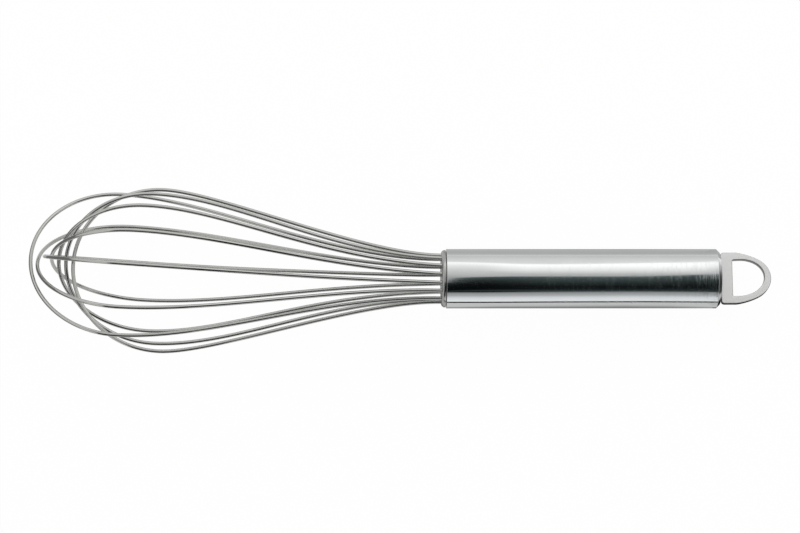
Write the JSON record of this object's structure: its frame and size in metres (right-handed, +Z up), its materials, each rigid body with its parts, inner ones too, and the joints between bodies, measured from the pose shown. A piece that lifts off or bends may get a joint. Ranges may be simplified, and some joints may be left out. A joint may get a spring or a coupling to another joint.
{
  "type": "balloon whisk",
  "caption": "Stainless balloon whisk: a pear-shaped cage of nested wire loops on a round tube handle, with a flat D-shaped hanging ring at its tail.",
  "frame": {"origin": "on the table, under the middle of the whisk as it lies on its cage and the tail of its handle", "axes": "+X from the tip of the cage towards the hanging ring, +Z up from the table"},
  "size_m": [0.2986, 0.07, 0.0661],
  "materials": {
    "wire_steel": "drawn stainless wire, softly bright",
    "handle_steel": "satin polished stainless tube",
    "cap_steel": "tumbled stainless",
    "ring_steel": "satin stainless plate with broken edges",
    "resin": "cast resin"
  },
  "bodies": {
    "root": {"wire_loop_1": "wire_steel", "wire_loop_2": "wire_steel", "wire_loop_3": "wire_steel", "wire_loop_4": "wire_steel", "wire_loop_5": "wire_steel", "wire_loop_6": "wire_steel", "wire_loop_7": "wire_steel", "wire_cap": "cap_steel", "potting_core": "resin", "handle_tube": "handle_steel", "tail_cap": "cap_steel", "hanging_ring": "ring_steel"}
  },
  "joints": []
}
